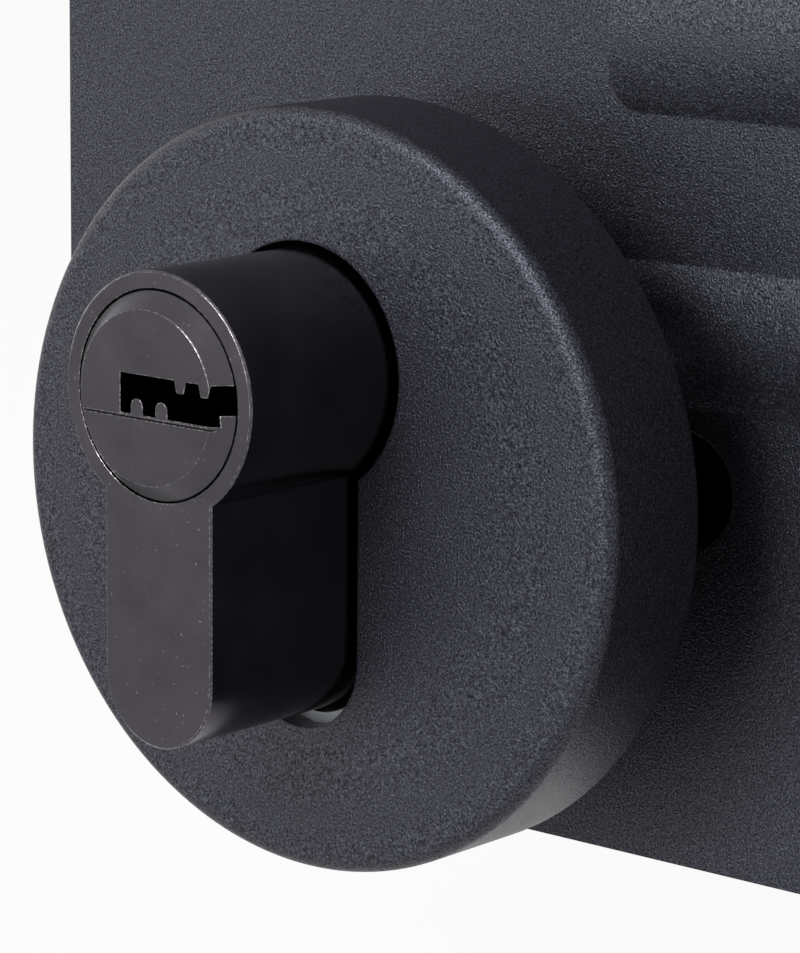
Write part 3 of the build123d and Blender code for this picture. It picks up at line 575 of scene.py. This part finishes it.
def screw_tree():
    """A countersunk screw, its head up at the origin: cut thread, coned head and hexagon recess."""
    tree, given = new_tree("threaded_screws", {
        "Head Radius": "Float", "Shank Radius": "Float", "Length": "Float", "Pitch": "Float",
        "Recess Radius": "Float", "Recess Depth": "Float", "Facing": "Vector", "Seed": "Int",
        "Material": "Material",
    })
    # The cone stands at 45 degrees, so it is as high as the head is wider than the shank
    cone_height = add_node(tree, "ShaderNodeMath", {
        0: given["Head Radius"], 1: given["Shank Radius"],
    }, operation="SUBTRACT")
    joined = add_node(tree, "GeometryNodeMeshBoolean", operation="UNION", solver="EXACT")
    for piece in (coned_head(tree, given, cone_height), threaded_shank(tree, given, cone_height)):
        tree.links.new(piece.outputs[0], joined.inputs["Mesh 2"])
    # The recess is centred on the head's face, so only its lower half cuts
    drive_height = add_node(tree, "ShaderNodeMath", {0: given["Recess Depth"], 1: 2.0}, operation="MULTIPLY")
    drive = add_node(tree, "GeometryNodeMeshCylinder", {
        "Vertices": 6, "Radius": given["Recess Radius"], "Depth": drive_height,
    })
    driven = add_node(tree, "GeometryNodeMeshBoolean", {
        "Mesh 1": joined, "Mesh 2": drive,
    }, operation="DIFFERENCE", solver="EXACT")
    angle = add_node(tree, "GeometryNodeInputMeshEdgeAngle")
    blunt = add_node(tree, "FunctionNodeCompare", {"A": angle, "B": SMOOTH_ANGLE}, operation="LESS_THAN")
    smooth = add_node(tree, "GeometryNodeSetShadeSmooth", {"Geometry": driven}, domain="FACE")
    creased = add_node(tree, "GeometryNodeSetShadeSmooth", {
        "Geometry": smooth, "Shade Smooth": blunt,
    }, domain="EDGE")
    place_copies(tree, given, creased, given["Facing"])
    return tree


def grow(name, tree, places, values):
    """Runs a tree on the places and makes of it one plain mesh piece, which stands for the CAD node."""
    seeds = bpy.data.meshes.new(f"{name}_places")
    seeds.from_pydata(places, [], [])
    holder = bpy.data.objects.new(f"{name}_holder", seeds)
    scene = bpy.context.scene
    scene.collection.objects.link(holder)
    modifier = holder.modifiers.new("grow", "NODES")
    modifier.node_group = tree
    for item in tree.interface.items_tree:
        if item.in_out == "INPUT" and item.name in values:
            modifier[item.identifier] = values[item.name]
    graph = bpy.context.evaluated_depsgraph_get()
    mesh = bpy.data.meshes.new_from_object(holder.evaluated_get(graph), depsgraph=graph)
    bpy.data.objects.remove(holder)
    if not mesh.polygons:
        raise RuntimeError(f"the tree for {name} made nothing")
    piece = bpy.data.objects.new(f"{name}_made", mesh)
    scene.collection.objects.link(piece)
    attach(piece, LOCK_BODY)
    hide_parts(name)


def cut_screws(name, tree, look, pitch, facing, places_in):
    """Makes a node's screws at the places that a function finds in the node's box and the head's radius."""
    low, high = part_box(name)
    size = high - low
    radii = SCREW_RADII[name]
    grow(name, tree, places_in(low, high, radii["Head Radius"]), {
        **radii, "Recess Depth": look.screw.recess_depth, "Pitch": pitch, "Facing": facing,
        "Length": size.y if facing == FACING_INSIDE else size.x, "Seed": look.screw.seed,
        "Material": made_once(black_oxide_steel, look.steel),
    })


class DEADBOLT_OT_coat(bpy.types.Operator):
    """Coat the case, the forend and the roses"""

    bl_idname = "deadbolt.coat"
    bl_label = "Powder Coat"

    def execute(self, context):
        dress(powder_coated_steel(context.scene.deadbolt.coat), POWDER_COATED)
        return {"FINISHED"}


class DEADBOLT_OT_plate(bpy.types.Operator):
    """Plate the cylinder and its plugs"""

    bl_idname = "deadbolt.plate"
    bl_label = "Black Nickel"

    def execute(self, context):
        dress(black_nickel_plate(context.scene.deadbolt.plate), NICKEL_PLATED)
        return {"FINISHED"}


class DEADBOLT_OT_metals(bpy.types.Operator):
    """Finish the plain metal pieces inside the case and the roses"""

    bl_idname = "deadbolt.metals"
    bl_label = "Inner Metals"

    def execute(self, context):
        look = context.scene.deadbolt.steel
        dress(zinc_plated_steel(look), ZINC_PLATED)
        dress(dull_zinc_plate(look), ROSE_BASES)
        dress(machined_steel(look), MACHINED)
        dress(turned_brass(look), BRASS_TURNED)
        dress(made_once(spring_steel, look), SPRINGS)
        dress(made_once(black_oxide_steel, look), SCREWS)
        return {"FINISHED"}


class DEADBOLT_OT_springs(bpy.types.Operator):
    """Wind the coil springs of the pins"""

    bl_idname = "deadbolt.springs"
    bl_label = "Pin Springs"

    def execute(self, context):
        look = context.scene.deadbolt.spring
        low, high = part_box("pin_springs")
        radius = high.x
        outermost = high.y - radius
        places = [
            (0.0, side * (outermost - i * look.pitch), low.z) for side in (-1, 1) for i in range(look.count)
        ]
        grow("pin_springs", spring_tree(), places, {
            "Wire": look.wire, "Radius": radius, "Height": high.z - low.z, "Turns": look.turns,
            "Seed": look.seed, "Material": made_once(spring_steel, context.scene.deadbolt.steel),
        })
        return {"FINISHED"}


class DEADBOLT_OT_screws(bpy.types.Operator):
    """Cut the threads and drives of the screws"""

    bl_idname = "deadbolt.screws"
    bl_label = "Screws"

    def execute(self, context):
        look = context.scene.deadbolt
        tree = screw_tree()
        cut_screws(
            "cover_screws", tree, look, look.screw.cover_pitch, FACING_INSIDE,
            lambda low, high, inset: [
                (x, high.y, z)
                for x in (low.x + inset, high.x - inset)
                for z in (low.z + inset, high.z - inset)
            ],
        )
        cut_screws(
            "forend_screws", tree, look, look.screw.forend_pitch, FACING_FOREND,
            lambda low, high, inset: [(high.x, 0.0, z) for z in (low.z + inset, high.z - inset)],
        )
        cut_screws(
            "cylinder_screw", tree, look, look.screw.cylinder_pitch, FACING_FOREND,
            lambda low, high, inset: [(high.x, 0.0, (low.z + high.z) / 2)],
        )
        cut_screws(
            "rose_bolts", tree, look, look.screw.rose_pitch, FACING_INSIDE,
            lambda low, high, inset: [
                (low.x + inset, high.y, low.z + inset), (high.x - inset, high.y, high.z - inset),
            ],
        )
        return {"FINISHED"}


def studio_ray(tree):
    """How much a ray is one that looks: from the camera, off a glossy surface or through a clear one."""
    path = add_node(tree, "ShaderNodeLightPath").outputs
    either = add_node(tree, "ShaderNodeMath", {
        0: path["Is Camera Ray"], 1: path["Is Glossy Ray"],
    }, operation="MAXIMUM")
    return add_node(tree, "ShaderNodeMath", {0: either, 1: path["Is Transmission Ray"]}, operation="MAXIMUM")


def pale_floor(look):
    """Matt paper that a looking ray sees plain white, but for the small share that takes the shadow."""
    material, tree = new_material("pale_floor")
    tree.nodes.remove(tree.nodes["Principled BSDF"])
    paper = add_node(tree, "ShaderNodeBsdfDiffuse", {"Color": look.floor_colour})
    white = add_node(tree, "ShaderNodeEmission", {"Strength": 1.0})
    plain = add_node(tree, "ShaderNodeMath", {0: studio_ray(tree), 1: 1 - look.shadow}, operation="MULTIPLY")
    both = add_node(tree, "ShaderNodeMixShader", {0: plain, 1: paper, 2: white})
    set_inputs(tree, tree.nodes["Material Output"], {"Surface": both})
    return material


def softbox(name, towards, size, level):
    """A soft area lamp that lights the cylinder's face, at a level where 1 shows a colour as written."""
    lamp = bpy.data.lights.new(name, "AREA")
    lamp.shape = "RECTANGLE"
    lamp.size, lamp.size_y = size
    lamp.energy = level * math.pi ** 2 * LAMP_DISTANCE ** 2
    obj = bpy.data.objects.new(name, lamp)
    direction = Vector(towards).normalized()
    obj.location = AIM + direction * LAMP_DISTANCE
    obj.rotation_mode = "QUATERNION"
    obj.rotation_quaternion = direction.to_track_quat("Z", "Y")
    bpy.context.scene.collection.objects.link(obj)


class DEADBOLT_OT_stage(bpy.types.Operator):
    """Lay the floor and set up the lamps"""

    bl_idname = "deadbolt.stage"
    bl_label = "Studio"

    def execute(self, context):
        look = context.scene.deadbolt.stage
        half = look.floor_size / 2
        ground = CAD_BOX[0].z
        corners = [
            (-half, -half, ground), (half, -half, ground), (half, half, ground), (-half, half, ground),
        ]
        mesh = bpy.data.meshes.new("floor")
        mesh.from_pydata(corners, [], [(0, 1, 2, 3)])
        mesh.materials.append(pale_floor(look))
        floor = bpy.data.objects.new("floor", mesh)
        context.scene.collection.objects.link(floor)

        world = bpy.data.worlds.new("studio")
        context.scene.world = world
        world.use_nodes = True
        tree = world.node_tree
        strength = add_node(tree, "ShaderNodeMapRange", {"Value": studio_ray(tree), "To Min": look.fill})
        set_inputs(tree, tree.nodes["Background"], {"Color": (1, 1, 1, 1), "Strength": strength})

        softbox("front_softbox", towards=(0.0, -0.85, 0.5), size=(0.3, 0.3), level=1.1)
        softbox("low_softbox", towards=(-0.2, -0.98, 0.02), size=(0.6, 0.09), level=0.2)
        softbox("left_softbox", towards=(-0.97, -0.2, 0.15), size=(0.35, 0.35), level=0.08)
        return {"FINISHED"}


class DEADBOLT_OT_camera(bpy.types.Operator):
    """Set the camera where the photograph was taken from"""

    bl_idname = "deadbolt.camera"
    bl_label = "Camera"

    def execute(self, context):
        look = context.scene.deadbolt.camera
        data = bpy.data.cameras.new("photo_camera")
        data.lens = look.focal
        data.clip_start = 0.01
        camera = bpy.data.objects.new("photo_camera", data)
        context.scene.collection.objects.link(camera)
        camera.location = look.place
        level = math.cos(look.pitch)
        forward = Vector((-math.sin(look.yaw) * level, math.cos(look.yaw) * level, -math.sin(look.pitch)))
        camera.rotation_mode = "QUATERNION"
        camera.rotation_quaternion = forward.to_track_quat("-Z", "Y") @ Quaternion((0, 0, 1), look.roll)
        context.scene.camera = camera
        context.scene.view_settings.view_transform = "Standard"
        return {"FINISHED"}


SETTINGS = (
    CoatSettings, PlateSettings, SteelSettings, SpringSettings, ScrewSettings, StageSettings, CameraSettings,
    DeadboltLook,
)
OPERATORS = (
    DEADBOLT_OT_coat, DEADBOLT_OT_plate, DEADBOLT_OT_metals, DEADBOLT_OT_springs, DEADBOLT_OT_screws,
    DEADBOLT_OT_stage, DEADBOLT_OT_camera,
)


class DEADBOLT_PT_look(bpy.types.Panel):
    """Lists the steps that dress the deadbolt, and their settings"""

    bl_idname = "DEADBOLT_PT_look"
    bl_label = "Deadbolt"
    bl_space_type = "VIEW_3D"
    bl_region_type = "UI"
    bl_category = "Deadbolt"

    def draw(self, context):
        look = context.scene.deadbolt
        for operator in OPERATORS:
            self.layout.operator(operator.bl_idname)
        for group in (look.coat, look.plate, look.steel, look.spring, look.screw, look.stage, look.camera):
            box = self.layout.box()
            for name in group.__annotations__:
                box.prop(group, name)


CLASSES = SETTINGS + OPERATORS + (DEADBOLT_PT_look,)


def register():
    for cls in CLASSES:
        bpy.utils.register_class(cls)
    bpy.types.Scene.deadbolt = PointerProperty(type=DeadboltLook)


def unregister():
    del bpy.types.Scene.deadbolt
    for cls in reversed(CLASSES):
        bpy.utils.unregister_class(cls)


def main():
    register()
    bpy.ops.deadbolt.coat()
    bpy.ops.deadbolt.plate()
    bpy.ops.deadbolt.metals()
    bpy.ops.deadbolt.springs()
    bpy.ops.deadbolt.screws()
    bpy.ops.deadbolt.stage()
    bpy.ops.deadbolt.camera()


if __name__ == "__main__":
    main()
